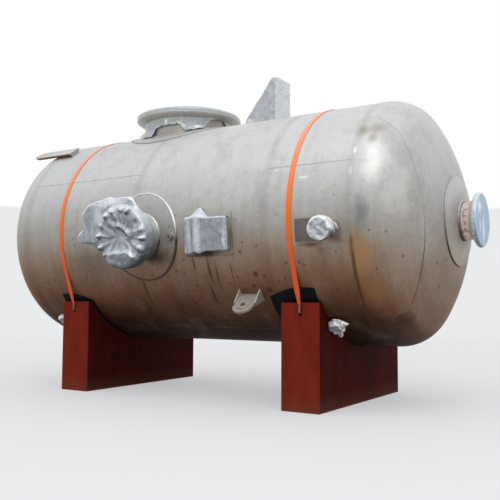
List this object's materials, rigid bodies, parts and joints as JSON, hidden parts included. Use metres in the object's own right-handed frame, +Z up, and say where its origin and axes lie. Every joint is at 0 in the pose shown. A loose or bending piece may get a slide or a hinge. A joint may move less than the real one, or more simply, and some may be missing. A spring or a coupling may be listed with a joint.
{
  "type": "vapour separator vessel",
  "caption": "Horizontal stainless pressure vessel with dished heads, manway, nozzles and lifting lugs wrapped in film, strapped on steel cradles.",
  "frame": {"origin": "on the ground, under the middle of the cradle nearer the end nozzle", "axes": "+X along the vessel towards the end nozzle, -Y towards the side with the manway, +Z up"},
  "size_m": [5.4953, 2.7415, 3.4413],
  "materials": {
    "shell_steel": "satin stainless plate, water-stained, darker below",
    "fitting_steel": "machined and ground stainless",
    "pad_steel": "dull stainless plate with ground edges",
    "film": "creased silver-grey wrapping film",
    "clear_film": "pale blue film drawn over the flange",
    "tape": "brown adhesive tape",
    "cradle_paint": "red oxide primer",
    "mat_rubber": "matt black sheet",
    "webbing": "orange woven webbing",
    "hook_steel": "plated steel",
    "gasket": "sheet gasket"
  },
  "bodies": {
    "root": {"box_film": "film", "box_frame": "fitting_steel", "box_pad": "pad_steel", "bracket_film": "film", "bracket_gussets": "fitting_steel", "bracket_upright": "fitting_steel", "clip_plate": "pad_steel", "end_nozzle_film": "clear_film", "end_nozzle_flange": "fitting_steel", "end_nozzle_neck": "fitting_steel", "end_nozzle_pad": "pad_steel", "end_nozzle_tape": "tape", "left_cradle_base": "cradle_paint", "left_cradle_ends": "cradle_paint", "left_cradle_horns": "cradle_paint", "left_cradle_saddle": "cradle_paint", "left_cradle_webs": "cradle_paint", "left_drain": "fitting_steel", "left_drain_film": "film", "left_head": "shell_steel", "left_mat": "mat_rubber", "left_strake": "shell_steel", "left_strap": "webbing", "left_strap_hooks": "hook_steel", "lug_gussets": "fitting_steel", "lug_plate": "fitting_steel", "manway_cover": "fitting_steel", "manway_film": "film", "manway_flange": "fitting_steel", "manway_gasket": "gasket", "manway_neck": "fitting_steel", "manway_pad": "pad_steel", "manway_telltale": "fitting_steel", "middle_strake": "shell_steel", "right_cradle_base": "cradle_paint", "right_cradle_ends": "cradle_paint", "right_cradle_horns": "cradle_paint", "right_cradle_saddle": "cradle_paint", "right_cradle_webs": "cradle_paint", "right_drain": "fitting_steel", "right_drain_film": "film", "right_head": "shell_steel", "right_mat": "mat_rubber", "right_strake": "shell_steel", "right_strap": "webbing", "right_strap_hooks": "hook_steel", "small_nozzle_blind": "fitting_steel", "small_nozzle_film": "film", "small_nozzle_flange": "fitting_steel", "small_nozzle_neck": "fitting_steel", "tail_lug_packer": "pad_steel", "tail_lug_plate": "pad_steel", "top_nozzle_film": "film", "top_nozzle_flange": "fitting_steel", "top_nozzle_neck": "fitting_steel", "top_nozzle_pad": "pad_steel"}
  },
  "joints": []
}
